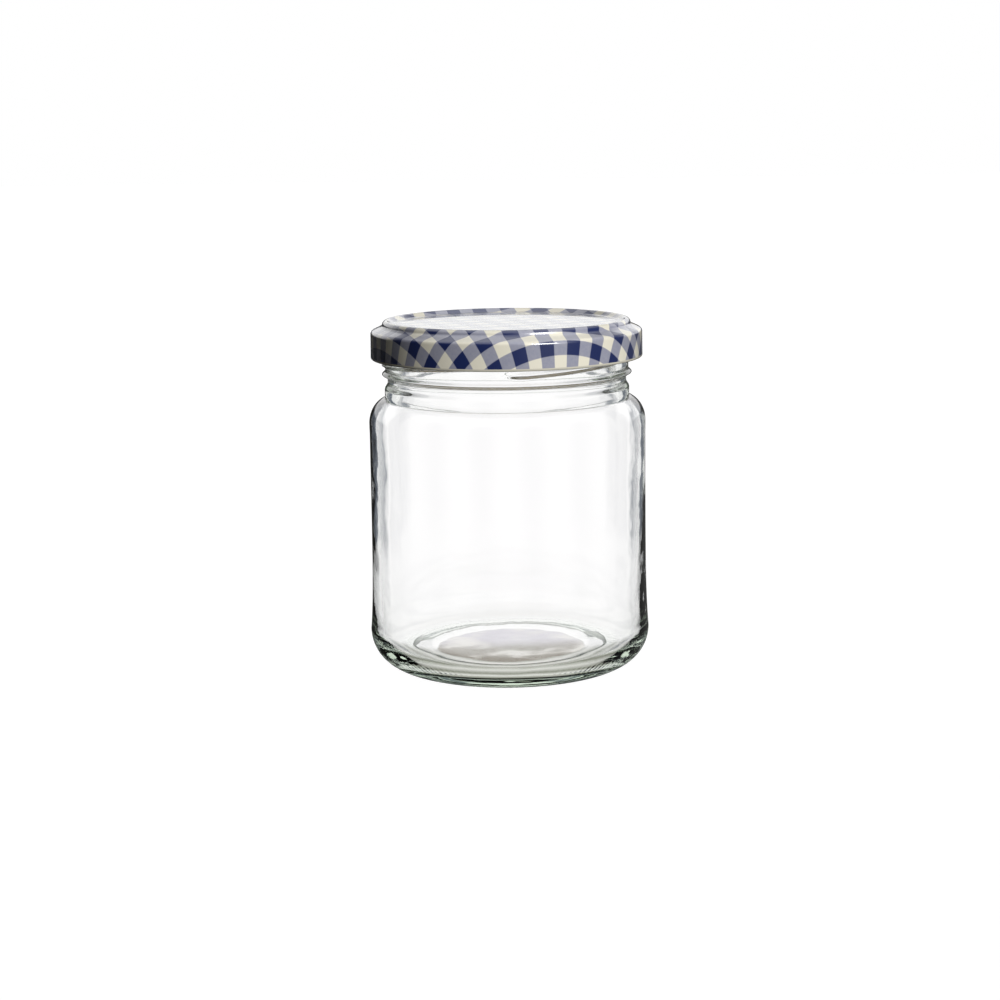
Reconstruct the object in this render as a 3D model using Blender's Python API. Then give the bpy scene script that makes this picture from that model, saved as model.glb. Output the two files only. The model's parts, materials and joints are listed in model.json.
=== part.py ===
"""A twist-off jar: a clear glass jar closed by a printed steel twist-off lid.

Units are metres and +Z is up. The origin is the middle of the base, and the front faces -Y.
Angles round the jar are in degrees, measured from the front towards +X.
"""
import math

import bmesh
import bpy

MM = 0.001
SEGMENTS = 48
SHARP_ANGLE = 35.0

# Body, outside of the glass
BODY_RADIUS = 34.0 * MM
LABEL_TOP = 58.0 * MM
HEEL_RADIUS = 34.77 * MM
HEEL_HEIGHT = 9.0 * MM
HEEL_CORNER = 8.4 * MM
HEEL_FADE = 8.5 * MM
FLARE_HEIGHTS = (30.0 * MM, 20.0 * MM, 14.0 * MM, 11.0 * MM)

# Shoulder: a quarter ellipse between the body and the neck
SHOULDER_RADIUS = 34.05 * MM
SHOULDER_HEIGHT = 60.6 * MM
SHOULDER_WIDTH = 4.85 * MM
SHOULDER_RISE = 6.2 * MM
SHOULDER_END = 64.0
SHOULDER_CENTRE = (SHOULDER_RADIUS - SHOULDER_WIDTH, SHOULDER_HEIGHT)
SHOULDER_HALF = (SHOULDER_WIDTH, SHOULDER_RISE)

# Base: the ring that the jar stands on, and the shallow hollow inside it
BEARING_WIDTH = 1.6 * MM
PUSH_UP = 1.9 * MM
PUSH_UP_EDGE = (0.6 * MM, 1.5 * MM)
PUSH_UP_RADIUS = 19.6 * MM

# Neck, from the rim down to the shoulder
JAR_HEIGHT = 84.4 * MM
RIM_ROUND = 1.0 * MM
NECK_RADIUS = 29.85 * MM
BEAD_RADIUS = 30.65 * MM
BEAD_HEIGHT = 72.75 * MM
BEAD_HALF = 0.9 * MM
GROOVE_RADIUS = 29.3 * MM
GROOVE_HEIGHT = 70.7 * MM
LOWER_BEAD_RADIUS = 30.05 * MM
LOWER_BEAD_TOP = 69.0 * MM
LOWER_BEAD_BOTTOM = 67.6 * MM
NECK_PULL = 1.6 * MM

# Inside of the glass
WALL = 1.7 * MM
BORE_RADIUS = 26.9 * MM
FLOOR_HEIGHT = 4.0 * MM
FLOOR_CROWN = 0.4 * MM
INNER_CORNER = 6.0 * MM
INNER_RISE = 5.25 * MM
FILLET_WIDTH = 1.75 * MM
FILLET_HEIGHT = 0.8 * MM

# Threads: four starts, each a short rising ridge
STARTS = 4
START_ANGLE = -2.0
START_HEIGHT = 75.25 * MM
THREAD_RUN = 128.0
THREAD_FLAT = 10.0
THREAD_SLOPE = 0.030 * MM
THREAD_HALF = 0.95 * MM
THREAD_DEPTH = 1.05 * MM
THREAD_TAPER = 13.0
THREAD_ROWS = 13

# Lid: a flat panel, a raised ring round it, a sloping ledge and the skirt
SHEET = 0.2 * MM
PANEL_HEIGHT = 84.95 * MM
PANEL_RADIUS = 27.3 * MM
RING_HEIGHT = 85.88 * MM
RING_RADIUS = 29.3 * MM
RING_ROUND = 1.1 * MM
LEDGE_RADIUS = 30.75 * MM
LEDGE_HEIGHT = 84.38 * MM
LEDGE_ANGLE = 66.0
SKIRT_RADIUS = 33.25 * MM
SKIRT_FLARE = 0.06 * MM
SKIRT_CORNER = 1.0 * MM
CORNER_HEIGHT = 82.6 * MM
CURL_RADIUS = 0.42 * MM
CURL_HEIGHT = 76.98 * MM

# Lugs: the curl pressed in below each thread's upper end
LUG_ANGLE = START_ANGLE + 117.0
LUG_HALF = 8.0
LUG_EASE = 4.0
LUG_REACH = 2.1 * MM
LUG_ROOT = 0.45

# Sealing ring, moulded into the lid's raised ring above the glass rim
SEAL_INNER = 28.6 * MM
SEAL_OUTER = 29.8 * MM
SEAL_BOTTOM = 84.72 * MM
SEAL_TOP = 85.2 * MM
SEAL_CHAMFER = 0.25 * MM

GLASS_COLOUR = (0.90, 0.95, 0.93, 1.0)
LID_COLOUR = (0.10, 0.13, 0.35, 1.0)
SEAL_COLOUR = (0.80, 0.80, 0.78, 1.0)


def clear_scene():
    """Remove every object, so that the script starts from nothing."""
    for thing in list(bpy.data.objects):
        bpy.data.objects.remove(thing, do_unlink=True)


def make_material(name, colour, roughness, metallic=0.0, transmission=0.0):
    """A Principled material with one finish."""
    material = bpy.data.materials.new(name)
    material.use_nodes = True
    shader = material.node_tree.nodes["Principled BSDF"]
    shader.inputs["Base Color"].default_value = colour
    shader.inputs["Roughness"].default_value = roughness
    shader.inputs["Metallic"].default_value = metallic
    shader.inputs["Transmission Weight"].default_value = transmission
    return material


def arc(centre, half_sizes, start, end, steps):
    """Points of an ellipse in the radius and height plane, angles in degrees from outward."""
    points = []
    for step in range(steps + 1):
        angle = math.radians(start + (end - start) * step / steps)
        radius = centre[0] + half_sizes[0] * math.cos(angle)
        height = centre[1] + half_sizes[1] * math.sin(angle)
        points.append((radius, height))
    return points


def curve(start, first, second, end, steps):
    """Points of a cubic curve from start to end with two control points."""
    points = []
    for step in range(steps + 1):
        share = step / steps
        rest = 1.0 - share
        weights = (rest ** 3, 3.0 * rest ** 2 * share, 3.0 * rest * share ** 2, share ** 3)
        corners = (start, first, second, end)
        points.append(tuple(sum(weight * corner[axis] for weight, corner in zip(weights, corners))
                            for axis in range(2)))
    return points


def smooth(value):
    """Ease a share from 0 to 1."""
    share = min(1.0, max(0.0, value))
    return share * share * (3.0 - 2.0 * share)


def turned(name, profile, material, shape_point=None):
    """Spin a profile of (radius, height) points about +Z into one closed body.

    shape_point(radius, height, angle) gives the radius of each finished point.
    """
    mesh = bmesh.new()
    line = [mesh.verts.new((radius, 0.0, height)) for radius, height in profile]
    pairs = list(zip(line, line[1:]))
    if profile[0][0] > 0.0:
        pairs.append((line[-1], line[0]))
    edges = [mesh.edges.new(pair) for pair in pairs]
    bmesh.ops.spin(mesh, geom=line + edges, cent=(0, 0, 0), axis=(0, 0, 1),
                   angle=math.tau, steps=SEGMENTS, use_merge=True, use_duplicate=False)
    bmesh.ops.remove_doubles(mesh, verts=mesh.verts, dist=0.001 * MM)
    if shape_point:
        for vert in mesh.verts:
            radius = math.hypot(vert.co.x, vert.co.y)
            if radius > 1.0 * MM:
                angle = math.degrees(math.atan2(vert.co.y, vert.co.x)) + 90.0
                share = shape_point(radius, vert.co.z, angle) / radius
                vert.co.x *= share
                vert.co.y *= share
    bmesh.ops.recalc_face_normals(mesh, faces=mesh.faces)
    data = bpy.data.meshes.new(name)
    mesh.to_mesh(data)
    mesh.free()
    data.materials.append(material)
    data.shade_smooth()
    data.set_sharp_from_angle(angle=math.radians(SHARP_ANGLE))
    body = bpy.data.objects.new(name, data)
    bpy.context.scene.collection.objects.link(body)


def thread_lift(angle, height):
    """How far the thread ridges stand out of the neck at one place."""
    lift = 0.0
    for start in range(STARTS):
        run = (angle - START_ANGLE - start * 360.0 / STARTS) % 360.0
        if run < THREAD_RUN:
            centre = START_HEIGHT + THREAD_SLOPE * max(0.0, run - THREAD_FLAT)
            offset = abs(height - centre) / THREAD_HALF
            if offset < 1.0:
                ends = smooth(run / THREAD_TAPER) * smooth((THREAD_RUN - run) / THREAD_TAPER)
                ridge = 0.5 + 0.5 * math.cos(math.pi * offset)
                lift = max(lift, THREAD_DEPTH * ends * ridge)
    return lift


def shape_neck(radius, height, angle):
    """Raise the threads on the outside of the neck."""
    outside = radius > 0.5 * (BORE_RADIUS + NECK_RADIUS)
    if outside and BEAD_HEIGHT + BEAD_HALF < height < JAR_HEIGHT - RIM_ROUND:
        return radius + thread_lift(angle, height)
    return radius


def neck_bead():
    """The rounded bead below the threads, from above it to below it."""
    points = []
    for share in (1.0, 0.6, 0.25, 0.0, -0.3, -0.65, -1.0):
        root = NECK_RADIUS if share > 0.0 else GROOVE_RADIUS
        rise = 0.5 + 0.5 * math.cos(math.pi * share)
        points.append((root + (BEAD_RADIUS - root) * rise, BEAD_HEIGHT + BEAD_HALF * share))
    return points


def inner_profile():
    """The inside of the glass, from the middle of the floor to below the rim."""
    inner_radius = BODY_RADIUS - WALL
    floor_corner = (inner_radius - INNER_CORNER, FLOOR_HEIGHT + INNER_CORNER)
    points = [(0.0, FLOOR_HEIGHT + FLOOR_CROWN)]
    points.append((0.55 * floor_corner[0], FLOOR_HEIGHT + 0.6 * FLOOR_CROWN))
    points += arc(floor_corner, (INNER_CORNER, INNER_CORNER), -90, 0, 7)
    turn_radius = BORE_RADIUS + FILLET_WIDTH
    shoulder_half = (inner_radius - turn_radius, INNER_RISE)
    points += arc((turn_radius, SHOULDER_HEIGHT), shoulder_half, 0, 90, 5)
    fillet_centre = (turn_radius, SHOULDER_HEIGHT + INNER_RISE + FILLET_HEIGHT)
    points += arc(fillet_centre, (FILLET_WIDTH, FILLET_HEIGHT), -90, -180, 3)[1:]
    points.append((BORE_RADIUS, BEAD_HEIGHT))
    return points


def neck_profile():
    """The neck's rim and outside, down to the shoulder."""
    round_size = (RIM_ROUND, RIM_ROUND)
    points = arc((BORE_RADIUS + RIM_ROUND, JAR_HEIGHT - RIM_ROUND), round_size, 180, 90, 3)
    points += arc((NECK_RADIUS - RIM_ROUND, JAR_HEIGHT - RIM_ROUND), round_size, 90, 0, 3)
    thread_top = START_HEIGHT + THREAD_SLOPE * (THREAD_RUN - THREAD_FLAT) + THREAD_HALF
    thread_bottom = START_HEIGHT - THREAD_HALF
    for row in range(THREAD_ROWS + 1):
        height = thread_top + (thread_bottom - thread_top) * row / THREAD_ROWS
        points.append((NECK_RADIUS, height))
    points += neck_bead()
    points.append((GROOVE_RADIUS, GROOVE_HEIGHT))
    points.append((LOWER_BEAD_RADIUS, LOWER_BEAD_TOP))
    bead_foot = (LOWER_BEAD_RADIUS, LOWER_BEAD_BOTTOM)
    top, before = arc(SHOULDER_CENTRE, SHOULDER_HALF, SHOULDER_END, SHOULDER_END - 1.0, 1)
    share = NECK_PULL / math.hypot(top[0] - before[0], top[1] - before[1])
    above_top = (top[0] + (top[0] - before[0]) * share, top[1] + (top[1] - before[1]) * share)
    below_foot = (LOWER_BEAD_RADIUS, LOWER_BEAD_BOTTOM - NECK_PULL)
    points += curve(bead_foot, below_foot, above_top, top, 4)[:-1]
    return points


def body_profile():
    """The shoulder, body, heel and base, down to the middle of the base."""
    points = arc(SHOULDER_CENTRE, SHOULDER_HALF, SHOULDER_END, 0, 6)
    points.append((BODY_RADIUS, LABEL_TOP))
    for height in FLARE_HEIGHTS:
        fade = math.exp((HEEL_HEIGHT - height) / HEEL_FADE)
        points.append((BODY_RADIUS + (HEEL_RADIUS - BODY_RADIUS) * fade, height))
    heel_centre = (HEEL_RADIUS - HEEL_CORNER, HEEL_HEIGHT)
    points += arc(heel_centre, (HEEL_CORNER, HEEL_HEIGHT), 0, -90, 9)
    bearing_inner = heel_centre[0] - BEARING_WIDTH
    points.append((bearing_inner, 0.0))
    points.append((bearing_inner - PUSH_UP_EDGE[0], PUSH_UP_EDGE[1]))
    points.append((PUSH_UP_RADIUS, PUSH_UP))
    points.append((0.0, PUSH_UP))
    return points


def lid_top(drop):
    """The pressed top of the lid, from its middle out to the ledge, lowered by drop."""
    panel_height = PANEL_HEIGHT - drop
    rise = RING_HEIGHT - PANEL_HEIGHT
    points = [(0.0, panel_height), (0.5 * PANEL_RADIUS, panel_height)]
    for share in (0.0, 0.3, 0.55, 0.8):
        radius = PANEL_RADIUS + (RING_RADIUS - PANEL_RADIUS) * share
        points.append((radius, panel_height + rise * smooth(share)))
    round_size = RING_ROUND - drop
    points += arc((RING_RADIUS, RING_HEIGHT - RING_ROUND), (round_size, round_size), 90, 0, 4)
    points.append((LEDGE_RADIUS - drop, LEDGE_HEIGHT - drop))
    return points


def lid_profile():
    """The lid's sheet from the middle of its top, round the curl, to the middle underneath."""
    points = lid_top(0.0)
    corner_centre = (SKIRT_RADIUS - SKIRT_CORNER, CORNER_HEIGHT)
    points += arc(corner_centre, (SKIRT_CORNER, SKIRT_CORNER), LEDGE_ANGLE, 0, 4)
    foot_radius = SKIRT_RADIUS + SKIRT_FLARE
    curl_centre = (foot_radius - CURL_RADIUS, CURL_HEIGHT)
    points += arc(curl_centre, (CURL_RADIUS, CURL_RADIUS), 0, -270, 8)
    points.append((foot_radius - SHEET, CURL_HEIGHT + 1.3 * CURL_RADIUS))
    inner_corner = SKIRT_CORNER - SHEET
    points += arc(corner_centre, (inner_corner, inner_corner), 0, LEDGE_ANGLE, 4)
    points += reversed(lid_top(SHEET))
    return points


def lug_share(angle):
    """How much of a lug stands at this angle, from 0 to 1."""
    share = 0.0
    for lug in range(STARTS):
        middle = LUG_ANGLE + lug * 360.0 / STARTS
        turn = abs((angle - middle + 180.0) % 360.0 - 180.0)
        share = max(share, smooth(0.5 + (LUG_HALF - turn) / LUG_EASE))
    return share


def shape_lid(radius, height, angle):
    """Press the inner half of the curl inwards at each lug."""
    curl_centre = SKIRT_RADIUS + SKIRT_FLARE - CURL_RADIUS
    on_curl = height < CURL_HEIGHT + 1.02 * CURL_RADIUS
    if on_curl and radius < curl_centre + 0.01 * MM:
        share = LUG_ROOT + (1.0 - LUG_ROOT) * (curl_centre - radius) / CURL_RADIUS
        return radius - LUG_REACH * share * lug_share(angle)
    return radius


def seal_profile():
    """The sealing ring's section, chamfered where the lid's ring rises."""
    return [(SEAL_INNER, SEAL_BOTTOM), (SEAL_OUTER, SEAL_BOTTOM), (SEAL_OUTER, SEAL_TOP),
            (SEAL_INNER + SEAL_CHAMFER, SEAL_TOP), (SEAL_INNER, SEAL_TOP - SEAL_CHAMFER)]


def main():
    """Make the jar, its lid and the sealing ring."""
    clear_scene()
    glass = make_material("clear_glass", GLASS_COLOUR, 0.03, transmission=1.0)
    steel = make_material("printed_steel", LID_COLOUR, 0.25, metallic=0.2)
    compound = make_material("sealing_compound", SEAL_COLOUR, 0.6)
    turned("jar", inner_profile() + neck_profile() + body_profile(), glass, shape_neck)
    turned("lid", lid_profile(), steel, shape_lid)
    turned("lid_seal", seal_profile(), compound)


main()
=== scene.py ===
"""Visual model of a twist-off jar: clear glass, and a steel lid printed with a gingham check.

Lengths in the tables below are in millimetres. Angles round the jar are in degrees,
measured from the front (-Y) towards +X.
"""
import json
import math

import bmesh
import bpy
from bpy.props import FloatProperty, FloatVectorProperty, PointerProperty
from mathutils import Matrix, Vector

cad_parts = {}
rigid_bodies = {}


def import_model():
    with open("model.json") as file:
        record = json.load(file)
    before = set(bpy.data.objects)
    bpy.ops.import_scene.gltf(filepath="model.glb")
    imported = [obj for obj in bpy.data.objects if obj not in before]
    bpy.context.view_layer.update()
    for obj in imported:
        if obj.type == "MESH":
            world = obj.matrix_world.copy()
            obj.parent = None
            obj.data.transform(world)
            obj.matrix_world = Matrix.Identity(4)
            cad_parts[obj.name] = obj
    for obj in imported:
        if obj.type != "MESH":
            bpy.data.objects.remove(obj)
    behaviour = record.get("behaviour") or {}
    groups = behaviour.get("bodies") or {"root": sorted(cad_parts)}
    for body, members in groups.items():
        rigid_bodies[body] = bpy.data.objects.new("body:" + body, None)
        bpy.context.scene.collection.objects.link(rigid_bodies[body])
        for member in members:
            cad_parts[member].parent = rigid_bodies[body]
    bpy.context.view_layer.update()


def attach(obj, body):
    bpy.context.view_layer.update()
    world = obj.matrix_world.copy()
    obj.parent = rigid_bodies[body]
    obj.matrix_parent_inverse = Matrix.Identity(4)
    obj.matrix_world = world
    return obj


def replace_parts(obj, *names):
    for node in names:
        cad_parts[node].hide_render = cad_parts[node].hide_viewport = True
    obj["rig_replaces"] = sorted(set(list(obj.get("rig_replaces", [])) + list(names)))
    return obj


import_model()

bl_info = {
    "name": "Twist-Off Jar",
    "version": (1, 0, 0),
    "blender": (4, 5, 0),
    "location": "3D View > Sidebar > Twist-Off Jar",
    "description": "A clear glass jar with a gingham-printed steel twist-off lid",
    "category": "Add Mesh",
}

MM = 0.001
SPIN_STEPS = 240
SHARP_ANGLE = 40.0

# Heel, shoulder and base of the glass
HEEL_FADE = 8.5
FLARE_HEIGHTS = (58.0, 54.0, 48.0, 42.0, 36.0, 30.0, 26.0, 22.0, 19.0, 16.0, 14.0, 12.0, 10.5)
SHOULDER_WIDTH = 4.85
SHOULDER_RISE = 6.2
SHOULDER_END = 66.0
BEARING_WIDTH = 1.6
PUSH_UP_RADIUS = 19.6
EDGE_WIDTH = 0.6
EDGE_HEIGHT = 1.5
FLOOR_CROWN = 0.4
WAVE = 0.07
WAVE_ENDS = (10.0, 66.0)
WAVE_EASE = 8.0
SHAPED_FROM = 8.0
GLASS_DENSITY = 6.5
KNURLS = 120
KNURL_INNER = (21.5, 23.0)
KNURL_OUTER = (28.5, 30.0)
KNURL_TOP = (0.7, 1.4)
KNURL_HEIGHT = 0.5
INNER_RISE = 5.37
FILLET_WIDTH = 1.46
FILLET_HEIGHT = 0.18

# Neck of the glass
RIM_ROUND = 1.0
BEAD_RADIUS = 30.65
BEAD_HEIGHT = 72.75
BEAD_HALF = 0.9
GROOVE_RADIUS = 29.3
GROOVE_HEIGHT = 70.7
LOWER_BEAD_RADIUS = 30.05
LOWER_BEAD_TOP = 69.0
LOWER_BEAD_BOTTOM = 67.4
NECK_PULL = 1.52

# Threads
STARTS = 4
START_ANGLE = -2.0
START_HEIGHT = 75.25
THREAD_RUN = 128.0
THREAD_FLAT = 10.0
THREAD_SLOPE = 0.030
THREAD_HALF = 0.95
THREAD_DEPTH = 1.05
THREAD_TAPER = 13.0
THREAD_ROWS = 44

# Lid
SHEET = 0.2
RING_ROUND = 1.1
LEDGE_RADIUS = 30.75
LEDGE_HEIGHT = 84.38
LEDGE_ANGLE = 66.0
SKIRT_FLARE = 0.06
SKIRT_CORNER = 1.0
CORNER_HEIGHT = 82.6
CURL_RADIUS = 0.42
CURL_HEIGHT = 76.98
PRINT_END = 77.3
LUG_ANGLE = START_ANGLE + 117.0
LUG_HALF = 8.0
LUG_EASE = 4.0
LUG_REACH = 2.1
LUG_ROOT = 0.45

# Sealing ring
SEAL_BOTTOM = 84.72
SEAL_TOP = 85.2
SEAL_ROUND = 0.1
SEAL_SLOPE = 0.25

CHECK_TURN = 21.68
CHECK_SKEW = 0.5
CHECK_ACROSS = (7.118, 0.4656)
CHECK_ALONG = (6.373, 0.4139)
CHECK_DUTY = 0.507
CHECK_BLUR = 0.16

# Camera, fitted to the photograph
CAMERA_PLACE = (0.0, -504.85, 132.57)
CAMERA_PITCH = 10.315
CAMERA_YAW = -0.237
CAMERA_ROLL = 0.768
CAMERA_LENS = 74.28

# Light. Rays through the glass see white windows every 45 degrees with dark cards between them.
# Reflections see a dim room with a glare low behind the jar. Heights are sines of the elevation.
WINDOW_STEP = 45.0
WINDOW_EDGE = (12.5, 15.5)
FRONT_START = (70.0, 90.0)
FRONT_EDGE = (4.0, 22.0)
FRONT_CARD = 0.4
CARD_COLOUR = (0.17, 0.19, 0.225)
CARD_FADE = (-0.238, -0.198)
CARD_LOW_SHARE = 0.25
SIDE_EDGE = (38.0, 52.0)
SIDE_LIMIT = (115.0, 140.0)
SIDE_LOW = (-0.36, -0.50)
SIDE_SHADE = 0.9
LOW_EDGE = (-0.30, -0.62)
LOW_SHADE = 0.12
LOW_COLOUR = (0.30, 0.275, 0.235)
HIGH_EDGE = (0.5, 0.9)
HIGH_SHADE = 0.4
GLARE_SIDES = (45.0, 70.0)
GLARE_BOTTOM = (0.03, 0.10)
GLARE_TOP = (0.42, 0.60)
GLARE_LEVEL = 1.13
THROUGH_LEVEL = 1.09
LEFT_RIGHT = (-0.5, 0.5)
LEFT_SHARE = 0.25
ROOM_LEVEL = 0.09
ROOM_TOP = 1.3
AMBIENT = 0.045
OVERHEAD = 0.2
OVERHEAD_EDGE = (0.3, 0.9)
BACK_FILL = 0.9
BACK_EDGE = (0.35, 0.9)
BACK_TOP = (0.1, 0.5)

# Painted shadow of the table under the base: a glowing disc that only the glass shows
SPOT_SIZE = 44.0
SPOT_DROP = 0.3
SPOT_EDGE = (18.6, 19.5)
# Dark taupe of the painted shadow under the push-up and the heel
SPOT_SHADOW_COLOUR = (0.22, 0.19, 0.14)
# Pale colour of the painted light patches
SPOT_PAINTED_LIGHT = (0.90, 0.88, 0.83)
# Lighter lavender of the painted shadow towards the back
SPOT_SHADOW_BACK = (0.64, 0.615, 0.69)
SPOT_FADE = (-1.0, 10.0)
SPOT_OUTER = (32.0, 38.0)
SPOT_FRONT = (4.0, -10.0)
SPOT_SHADE = 1.0
SPOT_RING_RADIUS = 28.0
SPOT_RING_STEP = 4.7
# Rings of painted shade and painted light under the heel
SPOT_RING_PAINTED_SHADE = (0.28, 0.29, 0.235)
SPOT_RING_PAINTED_LIGHT = (0.84, 0.84, 0.80)

# Floor and lamp
FLOOR_SIZE = 9000.0
FLOOR_GLOW = 0.97
KEY_AZIMUTH = 33.0
KEY_ELEVATION = 22.0
KEY_DISTANCE = 900.0
KEY_AIM = 80.0
KEY_SIZE = 320.0
KEY_POWER = 8.6


class Value:
    """One output socket of a node tree. Arithmetic on it adds Math nodes."""

    def __init__(self, graph, socket):
        self.graph = graph
        self.socket = socket

    def maths(self, operation, *values, clamp=False):
        """A Math node on these values, in order."""
        settings = {"operation": operation, "use_clamp": clamp}
        return self.graph.node("ShaderNodeMath", settings, dict(enumerate(values)))

    def __add__(self, other):
        return self.maths("ADD", self, other)

    def __radd__(self, other):
        return self.maths("ADD", other, self)

    def __sub__(self, other):
        return self.maths("SUBTRACT", self, other)

    def __rsub__(self, other):
        return self.maths("SUBTRACT", other, self)

    def __mul__(self, other):
        return self.maths("MULTIPLY", self, other)

    def __rmul__(self, other):
        return self.maths("MULTIPLY", other, self)

    def __truediv__(self, other):
        return self.maths("DIVIDE", self, other)

    def clamp(self):
        """This value held between 0 and 1."""
        return self.maths("ADD", self, 0.0, clamp=True)

    def distance(self, other):
        """The length of the diagonal over this value and another one."""
        return self.maths("SQRT", self * self + other * other)

    def ramp(self, low, high):
        """This value eased from 0 at low to 1 at high."""
        inputs = {"Value": self, "From Min": low, "From Max": high}
        return self.graph.node("ShaderNodeMapRange", {"interpolation_type": "SMOOTHSTEP"}, inputs)


class Graph:
    """A node tree, built from Python expressions."""

    def __init__(self, tree):
        self.tree = tree
        tree.nodes.clear()

    def node(self, kind, settings=None, inputs=None, output=0):
        """Add a node, change its settings, then set or link its inputs, and give one output."""
        made = self.tree.nodes.new(kind)
        for key, value in (settings or {}).items():
            setattr(made, key, value)
        for key, value in (inputs or {}).items():
            if isinstance(value, Value):
                self.tree.links.new(value.socket, made.inputs[key])
            else:
                made.inputs[key].default_value = value
        return Value(self, made.outputs[output]) if made.outputs else None

    def blend(self, share, first, second):
        """A colour between two others."""
        inputs = {0: share, 6: first, 7: second}
        return self.node("ShaderNodeMix", {"data_type": "RGBA"}, inputs, output=2)

    def noise(self, place, scale, detail=2.0, roughness=0.5):
        """Noise over a place in metres, with its scale in cells per metre."""
        inputs = {"Vector": place, "Scale": scale, "Detail": detail, "Roughness": roughness}
        return self.node("ShaderNodeTexNoise", None, inputs)

    def object_place(self):
        """The place on the object, in metres."""
        return self.node("ShaderNodeTexCoord", output="Object")

    def attribute(self, name):
        """A number stored on the mesh."""
        return self.node("ShaderNodeAttribute", {"attribute_name": name}, output="Fac")

    def axes(self, place, count=3):
        """The first numbers of a vector, one value each."""
        return [self.node("ShaderNodeSeparateXYZ", None, {0: place}, output=axis)
                for axis in range(count)]

    def bump(self, height, strength, distance):
        """A normal tilted by a height in metres."""
        inputs = {"Height": height, "Strength": strength, "Distance": distance}
        return self.node("ShaderNodeBump", None, inputs)


def new_material(name):
    """An empty material and its graph."""
    material = bpy.data.materials.new(name)
    material.use_nodes = True
    return material, Graph(material.node_tree)


def rgb(colour):
    """A node colour from three numbers."""
    return (colour[0], colour[1], colour[2], 1.0)


def arc(centre, half_sizes, start, end, steps):
    """Points of an ellipse in the radius and height plane, angles from outward."""
    points = []
    for step in range(steps + 1):
        angle = math.radians(start + (end - start) * step / steps)
        radius = centre[0] + half_sizes[0] * math.cos(angle)
        points.append((radius, centre[1] + half_sizes[1] * math.sin(angle)))
    return points


def smooth(value):
    """Ease a share from 0 to 1."""
    share = min(1.0, max(0.0, value))
    return share * share * (3.0 - 2.0 * share)


def line(start, end, steps):
    """Points after start on the way to end."""
    points = []
    for step in range(1, steps + 1):
        share = step / steps
        points.append((start[0] + (end[0] - start[0]) * share,
                       start[1] + (end[1] - start[1]) * share))
    return points


def curve(start, first, second, end, steps):
    """Points after start along a cubic curve with two control points."""
    points = []
    for step in range(1, steps + 1):
        share = step / steps
        rest = 1.0 - share
        weights = (rest ** 3, 3.0 * rest ** 2 * share, 3.0 * rest * share ** 2, share ** 3)
        corners = (start, first, second, end)
        points.append(tuple(sum(weight * corner[axis] for weight, corner in zip(weights, corners))
                            for axis in range(2)))
    return points


def turned(profile, shape_point=None, tags=None):
    """Spin a profile of (radius, height) points about the jar's axis into a closed mesh.

    shape_point(radius, height, angle) gives each finished point's radius and height.
    tags gives each profile point a number for each layer name.
    """
    mesh = bmesh.new()
    layers = {key: mesh.verts.layers.float.new(key) for key in tags or {}}
    verts = [mesh.verts.new((radius * MM, 0.0, height * MM)) for radius, height in profile]
    for key in layers:
        layer = mesh.verts.layers.float[key]
        for vert, value in zip(verts, tags[key]):
            vert[layer] = value
    pairs = list(zip(verts, verts[1:]))
    if profile[0][0] > 0.0:
        pairs.append((verts[-1], verts[0]))
    edges = [mesh.edges.new(pair) for pair in pairs]
    bmesh.ops.spin(mesh, geom=verts + edges, cent=(0, 0, 0), axis=(0, 0, 1),
                   angle=math.tau, steps=SPIN_STEPS, use_merge=True, use_duplicate=False)
    bmesh.ops.remove_doubles(mesh, verts=mesh.verts, dist=0.0005 * MM)
    if shape_point:
        for vert in mesh.verts:
            radius = math.hypot(vert.co.x, vert.co.y)
            if radius > 0.1 * MM:
                angle = math.degrees(math.atan2(vert.co.y, vert.co.x)) + 90.0
                new_radius, new_height = shape_point(radius / MM, vert.co.z / MM, angle)
                vert.co.x *= new_radius * MM / radius
                vert.co.y *= new_radius * MM / radius
                vert.co.z = new_height * MM
    bmesh.ops.recalc_face_normals(mesh, faces=mesh.faces)
    return mesh


def finish_piece(name, mesh, material, node):
    """Turn a bmesh into the finished piece that stands for a CAD node."""
    data = bpy.data.meshes.new(name)
    mesh.to_mesh(data)
    mesh.free()
    data.materials.append(material)
    data.shade_smooth()
    data.set_sharp_from_angle(angle=math.radians(SHARP_ANGLE))
    piece = bpy.data.objects.new(name, data)
    bpy.context.scene.collection.objects.link(piece)
    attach(piece, "root")
    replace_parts(piece, node)
    return piece


def thread_lift(angle, height):
    """How far the thread ridges stand out of the neck at one place."""
    lift = 0.0
    for start in range(STARTS):
        run = (angle - START_ANGLE - start * 360.0 / STARTS) % 360.0
        if run < THREAD_RUN:
            centre = START_HEIGHT + THREAD_SLOPE * max(0.0, run - THREAD_FLAT)
            offset = abs(height - centre) / THREAD_HALF
            if offset < 1.0:
                ends = smooth(run / THREAD_TAPER) * smooth((THREAD_RUN - run) / THREAD_TAPER)
                ridge = 0.5 + 0.5 * math.cos(math.pi * offset)
                lift = max(lift, THREAD_DEPTH * ends * ridge)
    return lift


def wall_wave(angle, height):
    """How far the blown inner wall wanders in or out at one place."""
    turn = math.radians(angle)
    slow = math.sin(2.0 * turn + 0.045 * height) + 0.6 * math.sin(3.0 * turn - 0.07 * height + 1.3)
    fine = 0.25 * math.sin(5.0 * turn + 0.23 * height) + 0.15 * math.sin(0.41 * height - turn)
    low, high = WAVE_ENDS
    window = smooth((height - low) / WAVE_EASE) * smooth((high - height) / WAVE_EASE)
    return WAVE * (slow + fine) * window


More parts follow.
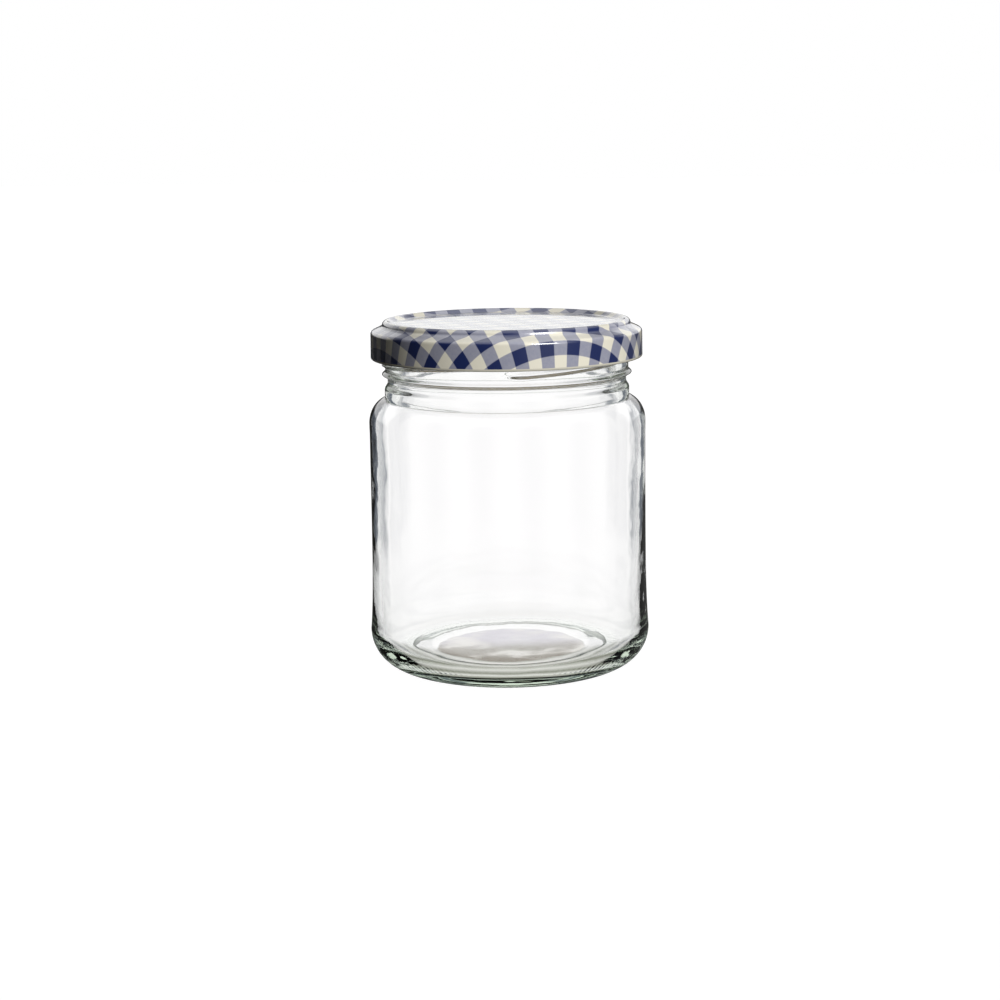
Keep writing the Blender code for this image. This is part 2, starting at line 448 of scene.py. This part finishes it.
def inner_outline(sizes):
    """The inside of the glass, from the middle of the floor to below the rim."""
    inner = (sizes.body_radius - sizes.wall) / MM
    bore = sizes.bore_radius / MM
    floor = sizes.floor_height / MM
    corner = sizes.inner_corner / MM
    points = [(0.0, floor + FLOOR_CROWN)]
    points += line(points[-1], (inner - corner, floor), 10)
    points += arc((inner - corner, floor + corner), (corner, corner), -90, 0, 18)[1:]
    shoulder = sizes.shoulder_height / MM
    points += line(points[-1], (inner, shoulder), 16)
    turn = bore + FILLET_WIDTH
    points += arc((turn, shoulder), (inner - turn, INNER_RISE), 0, 90, 16)[1:]
    fillet = (turn, shoulder + INNER_RISE + FILLET_HEIGHT)
    points += arc(fillet, (FILLET_WIDTH, FILLET_HEIGHT), -90, -180, 10)[1:]
    points += line(points[-1], (bore, BEAD_HEIGHT), 4)
    return points


def neck_outline(sizes):
    """The neck's rim and outside, down to the shoulder."""
    bore = sizes.bore_radius / MM
    neck = sizes.neck_radius / MM
    top = sizes.jar_height / MM
    round_size = (RIM_ROUND, RIM_ROUND)
    points = arc((bore + RIM_ROUND, top - RIM_ROUND), round_size, 180, 90, 6)
    points += arc((neck - RIM_ROUND, top - RIM_ROUND), round_size, 90, 0, 6)
    thread_top = START_HEIGHT + THREAD_SLOPE * (THREAD_RUN - THREAD_FLAT) + THREAD_HALF
    points.append((neck, thread_top))
    points += line(points[-1], (neck, START_HEIGHT - THREAD_HALF), THREAD_ROWS)
    for step in range(13):
        share = 1.0 - step / 6.0
        root = neck if share > 0.0 else GROOVE_RADIUS
        rise = 0.5 + 0.5 * math.cos(math.pi * share)
        points.append((root + (BEAD_RADIUS - root) * rise, BEAD_HEIGHT + BEAD_HALF * share))
    points.append((GROOVE_RADIUS, GROOVE_HEIGHT))
    for step in range(1, 11):
        share = step / 10
        points.append((GROOVE_RADIUS + (LOWER_BEAD_RADIUS - GROOVE_RADIUS) * smooth(share),
                       GROOVE_HEIGHT + (LOWER_BEAD_TOP - GROOVE_HEIGHT) * share))
    shoulder = (SHOULDER_WIDTH, SHOULDER_RISE)
    top, below = arc(shoulder_centre(sizes), shoulder, SHOULDER_END, SHOULDER_END - 1, 1)
    pull = NECK_PULL / math.hypot(top[0] - below[0], top[1] - below[1])
    last = (top[0] + (top[0] - below[0]) * pull, top[1] + (top[1] - below[1]) * pull)
    bead = (LOWER_BEAD_RADIUS, LOWER_BEAD_BOTTOM)
    points += line(points[-1], bead, 3)
    points += curve(bead, (bead[0], bead[1] - NECK_PULL), last, top, 10)[:-1]
    return points


def shoulder_centre(sizes):
    """The middle of the shoulder's ellipse."""
    return (sizes.body_radius / MM + 0.05 - SHOULDER_WIDTH, sizes.shoulder_height / MM)


def body_outline(sizes):
    """The shoulder, body, heel and base, down to the middle of the base."""
    body = sizes.body_radius / MM
    heel = sizes.heel_radius / MM
    heel_height = sizes.heel_height / MM
    points = arc(shoulder_centre(sizes), (SHOULDER_WIDTH, SHOULDER_RISE), SHOULDER_END, 0, 20)
    for height in FLARE_HEIGHTS:
        points.append((body + (heel - body) * math.exp((heel_height - height) / HEEL_FADE), height))
    heel_corner = sizes.heel_corner / MM
    centre = (heel - heel_corner, heel_height)
    points += arc(centre, (heel_corner, heel_height), 0, -90, 26)
    bearing = centre[0] - BEARING_WIDTH
    push_up = sizes.push_up / MM
    points.append((bearing + 0.5 * BEARING_WIDTH, 0.0))
    points += arc((bearing, EDGE_HEIGHT), (EDGE_WIDTH, EDGE_HEIGHT), -90, -180, 8)
    points += line(points[-1], (PUSH_UP_RADIUS, push_up), 6)
    points += line(points[-1], (0.0, push_up), 8)
    return points


def lid_top(sizes, drop):
    """The pressed top of the lid, from its middle out to the ledge, lowered by drop."""
    panel_height = sizes.panel_height / MM - drop
    panel = sizes.panel_radius / MM
    ring = sizes.ring_radius / MM
    ring_height = sizes.ring_height / MM
    rise = ring_height - drop - panel_height
    points = [(0.0, panel_height)]
    points += line(points[-1], (panel, panel_height), 12)
    for step in range(1, 12):
        share = step / 12.0
        points.append((panel + (ring - panel) * share, panel_height + rise * smooth(share)))
    round_size = RING_ROUND - drop
    points += arc((ring, ring_height - RING_ROUND), (round_size, round_size), 90, 0, 10)
    points += line(points[-1], (LEDGE_RADIUS - drop, LEDGE_HEIGHT - drop), 2)
    return points


def lid_outline(sizes):
    """The lid's sheet: its outside down to the curl, and then its inside back to the middle."""
    skirt = sizes.skirt_radius / MM
    corner = (skirt - SKIRT_CORNER, CORNER_HEIGHT)
    outside = lid_top(sizes, 0.0)
    start = arc(corner, (SKIRT_CORNER, SKIRT_CORNER), LEDGE_ANGLE, 0, 10)
    outside += line(outside[-1], start[0], 5) + start[1:]
    foot = skirt + SKIRT_FLARE
    outside += line(outside[-1], (foot, PRINT_END + 0.1), 12)
    curl = arc((foot - CURL_RADIUS, CURL_HEIGHT), (CURL_RADIUS, CURL_RADIUS), 0, -270, 22)
    outside += curl[:12]
    inside = curl[12:]
    inside.append((foot - SHEET, CURL_HEIGHT + 1.3 * CURL_RADIUS))
    inner_corner = SKIRT_CORNER - SHEET
    inside += line(inside[-1], (skirt - SHEET, CORNER_HEIGHT), 6)
    inside += arc(corner, (inner_corner, inner_corner), 0, LEDGE_ANGLE, 6)[1:]
    inside += reversed(lid_top(sizes, SHEET))
    return outside, inside


def flat_radii(profile):
    """The radius that each point of a drawn sheet had when the sheet was flat."""
    area = 0.0
    radii = [0.0]
    for before, after in zip(profile, profile[1:]):
        length = math.hypot(after[0] - before[0], after[1] - before[1])
        area += (before[0] + after[0]) * length
        radii.append(math.sqrt(area))
    return radii


def lug_share(angle):
    """How much of a lug stands at this angle, from 0 to 1."""
    share = 0.0
    for lug in range(STARTS):
        middle = LUG_ANGLE + lug * 360.0 / STARTS
        turn = abs((angle - middle + 180.0) % 360.0 - 180.0)
        share = max(share, smooth(0.5 + (LUG_HALF - turn) / LUG_EASE))
    return share


def glass_material(colours):
    """Clear glass with the faint green of its iron, and slight ripples."""
    material, graph = new_material("clear_glass")
    place = graph.object_place()
    ripple = graph.noise(place, 55.0, 2.0)
    grain = graph.noise(place, 260.0, 1.0)
    across, along, height = graph.axes(place)
    radius = across.distance(along)
    turns = across.maths("ARCTAN2", across, along) * (KNURLS / math.tau)
    ring = radius.ramp(KNURL_INNER[0] * MM, KNURL_INNER[1] * MM)
    ring = ring * (1.0 - radius.ramp(KNURL_OUTER[0] * MM, KNURL_OUTER[1] * MM))
    ring = ring * (1.0 - height.ramp(KNURL_TOP[0] * MM, KNURL_TOP[1] * MM))
    knurls = turns.maths("PINGPONG", turns, 0.5) * ring * KNURL_HEIGHT
    normal = graph.bump(ripple + grain * 0.12 + knurls, 0.25, 0.0006)
    tint = graph.blend(ripple, rgb(colours.clear), rgb([0.985 * part for part in colours.clear]))
    shader = graph.node("ShaderNodeBsdfPrincipled", None, {
        "Base Color": tint, "Roughness": 0.0, "IOR": 1.52,
        "Transmission Weight": 1.0, "Normal": normal})
    volume = graph.node("ShaderNodeVolumeAbsorption", None, {
        "Color": rgb(colours.glass), "Density": GLASS_DENSITY})
    graph.node("ShaderNodeOutputMaterial", None, {"Surface": shader, "Volume": volume})
    return material


def stripes(place, period, offset):
    """Dark stripes across one direction of the flat sheet, 1 where the stripe is dark."""
    turns = place / period + offset
    distance = turns.maths("PINGPONG", turns, 0.5)
    return ((0.5 * CHECK_DUTY - distance) * (period / CHECK_BLUR) + 0.5).clamp()


def steel_material(colours):
    """Printed steel under clear lacquer: gingham outside, plain lacquer inside."""
    material, graph = new_material("printed_steel")
    flat = graph.node("ShaderNodeUVMap", {"uv_map": "flat_sheet"})
    across, along = graph.axes(flat, 2)
    first = stripes(across, *CHECK_ACROSS)
    second = stripes(along, *CHECK_ALONG)
    both = first * second
    either = (first + second - both).clamp()
    place = graph.object_place()
    weave = graph.noise(place, 1400.0, 1.0) * 0.16
    worn = graph.noise(place, 90.0, 3.0) * 0.10
    cream = graph.blend(worn, rgb(colours.cream), rgb(colours.cream_shade))
    middle = graph.blend(weave, rgb(colours.check), rgb(colours.cream))
    ink = graph.blend(either, cream, graph.blend(both, middle, rgb(colours.navy)))
    printed = graph.attribute("printed")
    outside = graph.attribute("outside")
    sheet = graph.blend(printed.ramp(0.45, 0.55), rgb(colours.margin), ink)
    colour = graph.blend(outside.ramp(0.4, 0.6), rgb(colours.inside), sheet)
    peel = graph.noise(place, 700.0, 2.0)
    normal = graph.bump(peel, 0.05, 0.00006)
    roughness = graph.noise(place, 60.0, 2.0) * 0.12 + 0.24
    shader = graph.node("ShaderNodeBsdfPrincipled", None, {
        "Base Color": colour, "Roughness": roughness, "Metallic": 0.0, "IOR": 1.5,
        "Coat Weight": 1.0, "Coat Roughness": 0.06, "Normal": normal})
    graph.node("ShaderNodeOutputMaterial", None, {"Surface": shader})
    return material


def seal_material(colours):
    """Matt, slightly mottled sealing compound."""
    material, graph = new_material("sealing_compound")
    place = graph.object_place()
    # Mottle of the compound itself
    mottle_and_light_patches = graph.noise(place, 500.0, 3.0)
    colour = graph.blend(mottle_and_light_patches, rgb(colours.seal), rgb([0.85 * part for part in colours.seal]))
    normal = graph.bump(mottle_and_light_patches, 0.3, 0.0001)
    shader = graph.node("ShaderNodeBsdfPrincipled", None, {
        "Base Color": colour, "Roughness": mottle_and_light_patches * 0.2 + 0.5, "Normal": normal})
    graph.node("ShaderNodeOutputMaterial", None, {"Surface": shader})
    return material


def length(name, description, default):
    """A length in the sidebar, with its default in millimetres."""
    return FloatProperty(name=name, description=description, default=default * MM,
                         min=0.0, unit="LENGTH", precision=5)


def colour(name, description, default):
    """A colour in the sidebar."""
    return FloatVectorProperty(name=name, description=description, default=default,
                               min=0.0, max=1.0, size=3, subtype="COLOR")


class JarGlassSizes(bpy.types.PropertyGroup):
    """Sizes of the glass."""

    body_radius: length("Body radius", "Radius of the straight label panel", 34.0)
    heel_radius: length("Heel radius", "Widest radius, just above the base", 34.77)
    heel_height: length("Heel height", "Height of the widest place", 9.0)
    heel_corner: length("Heel corner", "Width of the heel's rounded corner", 8.4)
    shoulder_height: length("Shoulder height", "Where the rounded shoulder starts", 60.6)
    jar_height: length("Rim height", "Height of the glass rim", 84.4)
    neck_radius: length("Neck radius", "Radius of the neck between its threads", 29.85)
    bore_radius: length("Bore radius", "Inside radius of the neck", 26.9)
    wall: length("Wall", "Thickness of the body's wall", 1.7)
    floor_height: length("Floor height", "Height of the inside floor", 4.0)
    inner_corner: length("Inner corner", "Radius between the floor and the wall", 6.0)
    push_up: length("Push-up", "Depth of the hollow under the base", 1.9)


class JarLidSizes(bpy.types.PropertyGroup):
    """Sizes of the lid and its sealing ring."""

    skirt_radius: length("Skirt radius", "Radius of the lid's side", 33.25)
    panel_radius: length("Panel radius", "Radius of the flat top", 27.3)
    panel_height: length("Panel height", "Height of the flat top", 84.95)
    ring_radius: length("Ring radius", "Radius of the raised ring's crest", 29.3)
    ring_height: length("Ring height", "Height of the raised ring's crest", 85.88)
    seal_inner: length("Seal inner radius", "Inner radius of the sealing ring", 28.6)
    seal_outer: length("Seal outer radius", "Outer radius of the sealing ring", 29.8)


class JarColours(bpy.types.PropertyGroup):
    """Colours of the glass, the print and the seal."""

    clear: colour("Clear glass", "Tint of each pass through the glass", (1.0, 0.993, 1.0))
    glass: colour("Thick glass", "Tint that thick glass takes", (0.17, 0.54, 0.08))
    cream: colour("Cream", "Unprinted checks", (0.80, 0.76, 0.63))
    cream_shade: colour("Worn cream", "Slightly darker unprinted checks", (0.70, 0.66, 0.54))
    check: colour("Half check", "Checks where one stripe is printed", (0.26, 0.27, 0.36))
    navy: colour("Navy", "Checks where both stripes are printed", (0.011, 0.021, 0.095))
    margin: colour("Margin", "Bare edge above the curl", (0.62, 0.59, 0.49))
    inside: colour("Inside lacquer", "Lacquer inside the lid", (0.42, 0.33, 0.16))
    seal: colour("Seal", "Sealing compound", (0.80, 0.80, 0.78))


class TWISTJAR_OT_glass(bpy.types.Operator):
    """Make the glass jar with its threads, beads, heel and base"""

    bl_idname = "twistjar.glass"
    bl_label = "Glass Jar"

    def execute(self, context):
        sizes = context.scene.jar_glass
        neck_middle = 0.5 * (sizes.bore_radius + sizes.neck_radius) / MM
        bead_top = BEAD_HEIGHT + BEAD_HALF
        rim_low = sizes.jar_height / MM - RIM_ROUND
        outer_wall = (sizes.body_radius - 0.5 * sizes.wall) / MM

        def shape(radius, height, angle):
            if radius > neck_middle and bead_top < height < rim_low:
                return radius + thread_lift(angle, height), height
            if radius < outer_wall and SHAPED_FROM < height < WAVE_ENDS[1]:
                return radius + wall_wave(angle, height), height
            return radius, height

        outline = inner_outline(sizes) + neck_outline(sizes) + body_outline(sizes)
        mesh = turned(outline, shape)
        material = glass_material(context.scene.jar_colours)
        finish_piece("glass_jar", mesh, material, "jar")
        return {"FINISHED"}


class TWISTJAR_OT_lid(bpy.types.Operator):
    """Press the lid from one sheet and lay the flat print over it"""

    bl_idname = "twistjar.lid"
    bl_label = "Printed Lid"

    def execute(self, context):
        sizes = context.scene.jar_lid
        outside, inside = lid_outline(sizes)
        radii = flat_radii(outside + inside)
        tags = {
            "flat_radius": radii,
            "printed": [1.0 if height > PRINT_END else 0.0 for _, height in outside + inside],
            "outside": [1.0] * len(outside) + [0.0] * len(inside),
        }
        curl_centre = sizes.skirt_radius / MM + SKIRT_FLARE - CURL_RADIUS
        curl_top = CURL_HEIGHT + 1.02 * CURL_RADIUS

        def shape(radius, height, angle):
            if height < curl_top and radius < curl_centre + 0.01:
                share = LUG_ROOT + (1.0 - LUG_ROOT) * (curl_centre - radius) / CURL_RADIUS
                return radius - LUG_REACH * share * lug_share(angle), height
            return radius, height

        mesh = turned(outside + inside, shape, tags)
        flat = mesh.verts.layers.float["flat_radius"]
        sheet = mesh.loops.layers.uv.new("flat_sheet")
        turn = math.radians(CHECK_TURN)
        skew = math.radians(CHECK_SKEW)
        for face in mesh.faces:
            for loop in face.loops:
                angle = math.atan2(loop.vert.co.x, -loop.vert.co.y) - turn
                radius = loop.vert[flat]
                loop[sheet].uv = (radius * math.sin(angle), radius * math.cos(angle - skew))
        material = steel_material(context.scene.jar_colours)
        finish_piece("printed_lid", mesh, material, "lid")
        return {"FINISHED"}


class TWISTJAR_OT_seal(bpy.types.Operator):
    """Make the ring of sealing compound above the glass rim"""

    bl_idname = "twistjar.seal"
    bl_label = "Sealing Ring"

    def execute(self, context):
        sizes = context.scene.jar_lid
        inner = sizes.seal_inner / MM
        outer = sizes.seal_outer / MM
        small, large = (SEAL_ROUND, SEAL_ROUND), (SEAL_SLOPE, SEAL_SLOPE)
        outline = arc((inner + SEAL_ROUND, SEAL_BOTTOM + SEAL_ROUND), small, 180, 270, 3)
        outline += arc((outer - SEAL_ROUND, SEAL_BOTTOM + SEAL_ROUND), small, 270, 360, 3)
        outline += arc((outer - SEAL_ROUND, SEAL_TOP - SEAL_ROUND), small, 0, 90, 3)
        outline += arc((inner + SEAL_SLOPE, SEAL_TOP - SEAL_SLOPE), large, 90, 180, 5)
        mesh = turned(outline)
        material = seal_material(context.scene.jar_colours)
        finish_piece("sealing_ring", mesh, material, "lid_seal")
        return {"FINISHED"}


def stage_plane(name, size, material):
    """A flat square stage piece on the floor."""
    mesh = bmesh.new()
    bmesh.ops.create_grid(mesh, x_segments=1, y_segments=1, size=0.5 * size * MM)
    data = bpy.data.meshes.new(name)
    mesh.to_mesh(data)
    mesh.free()
    data.materials.append(material)
    plane = bpy.data.objects.new(name, data)
    bpy.context.scene.collection.objects.link(plane)
    return plane


def stage_light(name, place, size, power):
    """A rectangular soft light that faces the lid and lights only the lid."""
    light = bpy.data.lights.new(name, "AREA")
    light.shape = "RECTANGLE"
    light.size = size[0] * MM
    light.size_y = size[1] * MM
    light.energy = power
    lamp = bpy.data.objects.new(name, light)
    lamp.location = Vector(place) * MM
    direction = Vector((0.0, 0.0, KEY_AIM)) - Vector(place)
    lamp.rotation_euler = direction.to_track_quat("-Z", "Y").to_euler()
    lamp.visible_camera = False
    lamp.visible_transmission = False
    bpy.context.scene.collection.objects.link(lamp)
    lit = bpy.data.collections.new("lit_by_" + name)
    for piece in bpy.context.scene.objects:
        if "lid" in piece.get("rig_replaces", ()):
            lit.objects.link(piece)
    lamp.light_linking.receiver_collection = lit


def floor_material():
    """Pale matt table, mostly lit from below so that the jar's shadow on it stays faint."""
    material, graph = new_material("stage_floor")
    grain = graph.noise(graph.object_place(), 30.0, 3.0)
    colour_value = graph.blend(grain, (0.19, 0.19, 0.19, 1.0), (0.18, 0.18, 0.18, 1.0))
    shader = graph.node("ShaderNodeBsdfPrincipled", None, {
        "Base Color": colour_value, "Roughness": 0.8,
        "Emission Color": (1.0, 1.0, 1.0, 1.0), "Emission Strength": FLOOR_GLOW})
    graph.node("ShaderNodeOutputMaterial", None, {"Surface": shader})
    return material


def painted_shadow_material():
    """Painted shadow of the table under the base, seen only through the glass: a glowing disc with
    painted light patches, darker at the front, and rings of painted shade and painted light under
    the heel.
    """
    material, graph = new_material("stage_painted_shadow")
    place = graph.object_place()
    across, along = graph.axes(place, 2)
    wobble = graph.noise(place, 120.0, 3.0) - 0.5
    radius = across.distance(along)
    # Where the painted shadow covers: the disc under the push-up, and the front under the heel
    inside = 1.0 - (radius + wobble * (2.0 * MM)).ramp(SPOT_EDGE[0] * MM, SPOT_EDGE[1] * MM)
    near = 1.0 - along.ramp(SPOT_FRONT[1] * MM, SPOT_FRONT[0] * MM)
    heel = (1.0 - radius.ramp(SPOT_OUTER[0] * MM, SPOT_OUTER[1] * MM)) * near * SPOT_SHADE
    share = inside.maths("MAXIMUM", inside, heel)
    # Noise patches of painted light in the painted shadow
    mottle_and_light_patches = graph.noise(place, 75.0, 2.0).ramp(0.47, 0.66)
    # The painted shadow is darker at the front and lighter towards the back
    back = along.ramp(SPOT_FADE[0] * MM, SPOT_FADE[1] * MM)
    colour_value = graph.blend(back, rgb(SPOT_SHADOW_COLOUR), rgb(SPOT_SHADOW_BACK))
    colour_value = graph.blend(mottle_and_light_patches * 0.8, colour_value, rgb(SPOT_PAINTED_LIGHT))
    # Rings of painted shade and painted light on the table, seen through the heel
    turns = (radius + wobble * (1.5 * MM) - SPOT_RING_RADIUS * MM) / (SPOT_RING_STEP * MM)
    rings = graph.blend(
        turns.maths("PINGPONG", turns, 0.5) * 2.0, rgb(SPOT_RING_PAINTED_SHADE), rgb(SPOT_RING_PAINTED_LIGHT))
    colour_value = graph.blend(inside, rings, colour_value)
    glow = graph.node("ShaderNodeEmission", None, {"Color": colour_value, "Strength": 1.0})
    clear = graph.node("ShaderNodeBsdfTransparent")
    shader = graph.node("ShaderNodeMixShader", None, {0: share, 1: clear, 2: glow})
    graph.node("ShaderNodeOutputMaterial", None, {"Surface": shader})
    return material


def build_world(scene):
    """A white studio whose dark cards give clear glass its dark edges."""
    world = bpy.data.worlds.new("studio")
    scene.world = world
    world.use_nodes = True
    world.cycles.sampling_method = "NONE"
    graph = Graph(world.node_tree)
    way = graph.node("ShaderNodeTexCoord", output="Generated")
    across, away, up = graph.axes(way)
    azimuth = across.maths("ARCTAN2", across, away) * math.degrees(1.0)
    middle = azimuth.maths("PINGPONG", azimuth, 0.5 * WINDOW_STEP)
    side = azimuth.maths("ABSOLUTE", azimuth)
    front = side.ramp(*FRONT_START)
    card = middle.ramp(*WINDOW_EDGE) * (1.0 - front) + middle.ramp(*FRONT_EDGE) * front * FRONT_CARD
    high = up.ramp(*HIGH_EDGE)
    behind = 1.0 - side.ramp(*GLARE_SIDES)
    glare = behind * up.ramp(*GLARE_BOTTOM) * (1.0 - up.ramp(*GLARE_TOP)) * GLARE_LEVEL
    right = across.ramp(*LEFT_RIGHT) * (1.0 - LEFT_SHARE) + LEFT_SHARE
    gloss = right * ROOM_LEVEL + high * ROOM_TOP + glare
    paint = right * (AMBIENT + up.ramp(*OVERHEAD_EDGE) * OVERHEAD)
    paint = paint + away.ramp(*BACK_EDGE) * (1.0 - up.ramp(*BACK_TOP)) * BACK_FILL
    path = "ShaderNodeLightPath"
    camera = graph.node(path, output="Is Camera Ray")
    diffuse = graph.node(path, output="Is Diffuse Ray")
    mirror = graph.node(path, output="Is Reflection Ray") * (1.0 - diffuse)
    through = 1.0 - diffuse - mirror - camera
    level = through * THROUGH_LEVEL + gloss * mirror + paint * diffuse + camera
    card = card * (up.ramp(*CARD_FADE) * (1.0 - CARD_LOW_SHARE) + CARD_LOW_SHARE)
    beside = side.ramp(*SIDE_EDGE) * (1.0 - side.ramp(*SIDE_LIMIT))
    beside = beside * (1.0 - up.ramp(SIDE_LOW[1], SIDE_LOW[0])) * SIDE_SHADE
    shade = card.maths("MAXIMUM", card.maths("MAXIMUM", card, high * HIGH_SHADE), beside)
    white = (1.0, 1.0, 1.0, 1.0)
    low = (1.0 - up.ramp(LOW_EDGE[1], LOW_EDGE[0])) * LOW_SHADE
    table = graph.blend(low * through, white, rgb(LOW_COLOUR))
    colour_value = graph.blend(shade * through, table, rgb(CARD_COLOUR))
    background = graph.node("ShaderNodeBackground", None, {
        "Color": colour_value, "Strength": level})
    graph.node("ShaderNodeOutputWorld", None, {"Surface": background})


class TWISTJAR_OT_stage(bpy.types.Operator):
    """Make the studio's world, floor, lamp and camera"""

    bl_idname = "twistjar.stage"
    bl_label = "Studio"

    def execute(self, context):
        scene = context.scene
        build_world(scene)
        floor = stage_plane("floor", FLOOR_SIZE, floor_material())
        floor.visible_diffuse = False
        floor.visible_glossy = False
        floor.visible_transmission = False
        # Glowing disc of painted shadow under the base, seen only through the glass
        shadow_spot = stage_plane("painted_base_shadow", 2.0 * SPOT_SIZE, painted_shadow_material())
        shadow_spot.location.z = -SPOT_DROP * MM
        shadow_spot.visible_camera = False
        shadow_spot.visible_diffuse = False
        shadow_spot.visible_glossy = False
        shadow_spot.visible_shadow = False
        azimuth, elevation = math.radians(KEY_AZIMUTH), math.radians(KEY_ELEVATION)
        level = KEY_DISTANCE * math.cos(elevation)
        place = (level * math.sin(azimuth), -level * math.cos(azimuth),
                 KEY_AIM + KEY_DISTANCE * math.sin(elevation))
        stage_light("key", place, (KEY_SIZE, KEY_SIZE), KEY_POWER)

        data = bpy.data.cameras.new("camera")
        data.lens = CAMERA_LENS
        data.sensor_width = 36.0
        camera = bpy.data.objects.new("camera", data)
        yaw = Matrix.Rotation(math.radians(-CAMERA_YAW), 4, "Z")
        pitch = Matrix.Rotation(math.radians(90.0 - CAMERA_PITCH), 4, "X")
        roll = Matrix.Rotation(math.radians(-CAMERA_ROLL), 4, "Z")
        camera.matrix_world = Matrix.Translation(Vector(CAMERA_PLACE) * MM) @ yaw @ pitch @ roll
        scene.collection.objects.link(camera)
        scene.camera = camera
        scene.view_settings.view_transform = "Standard"
        scene.cycles.max_bounces = 64
        scene.cycles.transmission_bounces = 64
        scene.cycles.glossy_bounces = 12
        return {"FINISHED"}


class TWISTJAR_PT_panel(bpy.types.Panel):
    """Sizes, colours and buttons in the sidebar"""

    bl_idname = "TWISTJAR_PT_panel"
    bl_label = "Twist-Off Jar"
    bl_space_type = "VIEW_3D"
    bl_region_type = "UI"
    bl_category = "Twist-Off Jar"

    def draw(self, context):
        for group in ("jar_glass", "jar_lid", "jar_colours"):
            settings = getattr(context.scene, group)
            box = self.layout.box()
            for key in settings.__annotations__:
                box.prop(settings, key)
        for operator in OPERATORS:
            self.layout.operator(operator.bl_idname)


GROUPS = {"jar_glass": JarGlassSizes, "jar_lid": JarLidSizes, "jar_colours": JarColours}
OPERATORS = (TWISTJAR_OT_glass, TWISTJAR_OT_lid, TWISTJAR_OT_seal, TWISTJAR_OT_stage)
CLASSES = tuple(GROUPS.values()) + OPERATORS + (TWISTJAR_PT_panel,)


def register():
    """Register the classes and hang the settings on the scene."""
    for item in CLASSES:
        bpy.utils.register_class(item)
    for name, group in GROUPS.items():
        setattr(bpy.types.Scene, name, PointerProperty(type=group))


def unregister():
    """Undo register."""
    for name in GROUPS:
        delattr(bpy.types.Scene, name)
    for item in reversed(CLASSES):
        bpy.utils.unregister_class(item)


def main():
    """Make every piece and the stage."""
    register()
    bpy.ops.twistjar.glass()
    bpy.ops.twistjar.lid()
    bpy.ops.twistjar.seal()
    bpy.ops.twistjar.stage()


if __name__ == "__main__":
    main()
